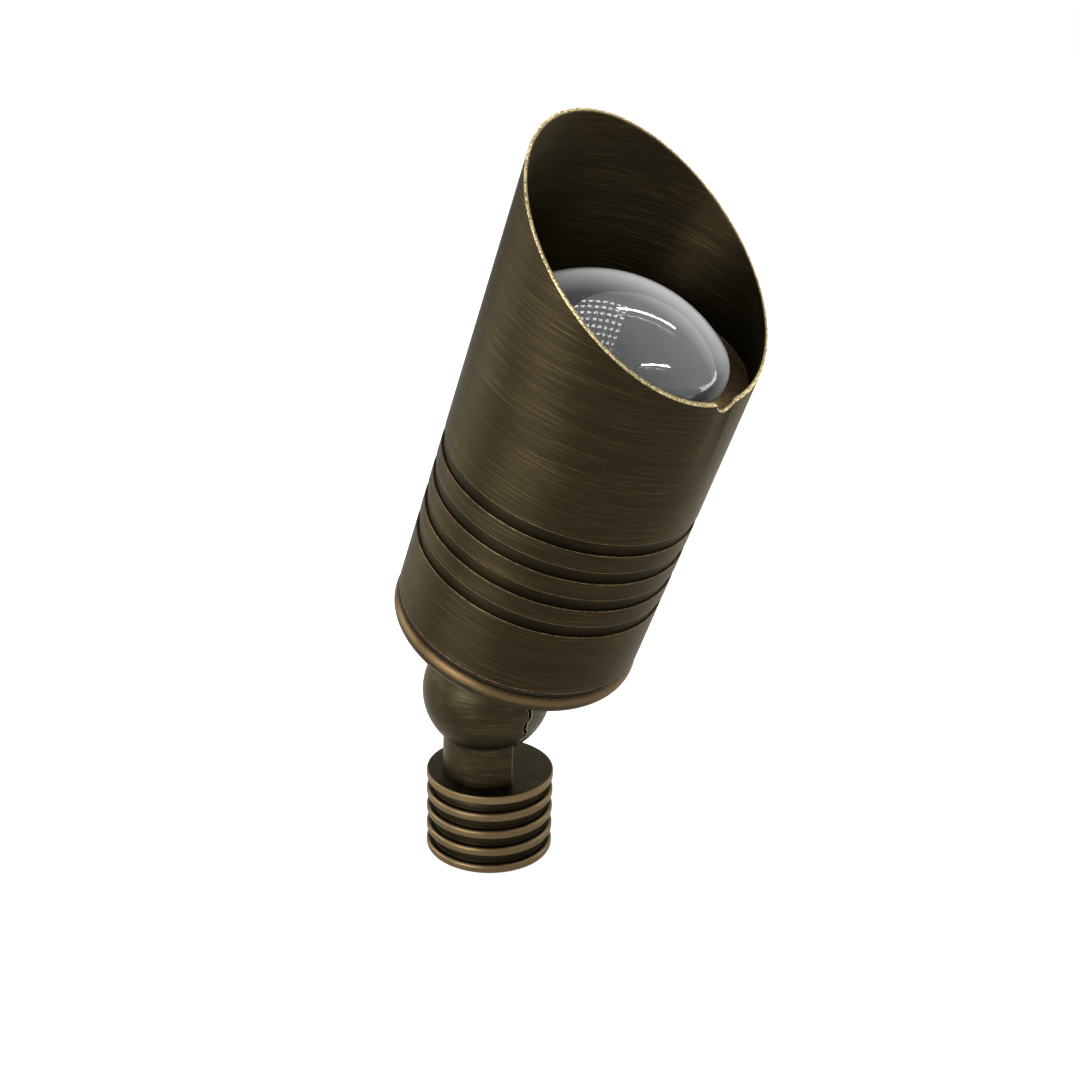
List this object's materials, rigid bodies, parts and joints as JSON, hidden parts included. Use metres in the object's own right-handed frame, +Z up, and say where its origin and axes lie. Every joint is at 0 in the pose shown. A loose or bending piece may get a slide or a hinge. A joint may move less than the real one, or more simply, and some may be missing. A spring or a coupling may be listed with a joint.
{
  "type": "garden spotlight",
  "caption": "Brass garden spotlight: a hooded lamp tube that tilts on a toothed knuckle above a ribbed, threaded hub.",
  "frame": {"origin": "centre of the hub's bottom face, on the axis of the thread that takes the stake", "axes": "+Z up along the hub's axis, -Y the way the head leans, X along the knuckle's pivot"},
  "size_m": [0.064, 0.0925, 0.1956],
  "materials": {
    "hub_brass": "aged, brushed, bright on the ribs",
    "knuckle_brass": "aged, brushed",
    "cap_brass": "aged, coppery, satin",
    "tube_brass": "aged, brushed round",
    "plain_brass": "turned",
    "black_rubber": "moulded",
    "clear_silicone": "moulded, cloudy",
    "stainless_steel": "bright",
    "contact_metal": "nickel plated",
    "white_ceramic": "unglazed",
    "cement": "matt, grainy",
    "lead_sleeve": "silicone sleeve",
    "crimp_nylon": "moulded nylon",
    "mirror_glass": "pressed glass with a mirror coat",
    "clear_glass": "clear",
    "lens_glass": "pressed and polished"
  },
  "bodies": {
    "stem": {"ribbed_hub": "hub_brass", "lower_knuckle": "knuckle_brass", "knuckle_o_ring": "black_rubber", "clamp_bolt": "stainless_steel", "spring_washer": "stainless_steel"},
    "head": {"upper_knuckle": "knuckle_brass", "base_cap": "cap_brass", "knuckle_nut": "plain_brass", "neck_o_ring": "black_rubber", "shroud_o_ring": "black_rubber", "wire_seal": "clear_silicone", "nut_washer": "stainless_steel", "socket_bracket": "stainless_steel", "bracket_screws": "stainless_steel", "holder_screws": "stainless_steel", "holder_contacts": "contact_metal", "lamp_pins": "contact_metal", "lamp_holder": "white_ceramic", "lamp_cement": "cement", "socket_leads": "lead_sleeve", "crimp_caps": "crimp_nylon", "lamp_reflector": "mirror_glass", "lamp_capsule": "clear_glass", "lamp_front_glass": "clear_glass"},
    "shroud": {"shroud": "tube_brass", "lens": "lens_glass", "lens_gasket": "clear_silicone", "lens_ring": "plain_brass"}
  },
  "joints": [
    {"name": "head_tilt", "type": "hinge", "parent": "stem", "child": "head", "pos_m": [0, 0, 0.0467], "axis": [1, 0, 0], "range_deg": [-112.5, 67.5]},
    {"name": "shroud_turn", "type": "hinge", "parent": "head", "child": "shroud", "pos_m": [0, 0, 0.0467], "axis": [0, -0.3827, 0.9239], "range_deg": [-180, 180]}
  ]
}
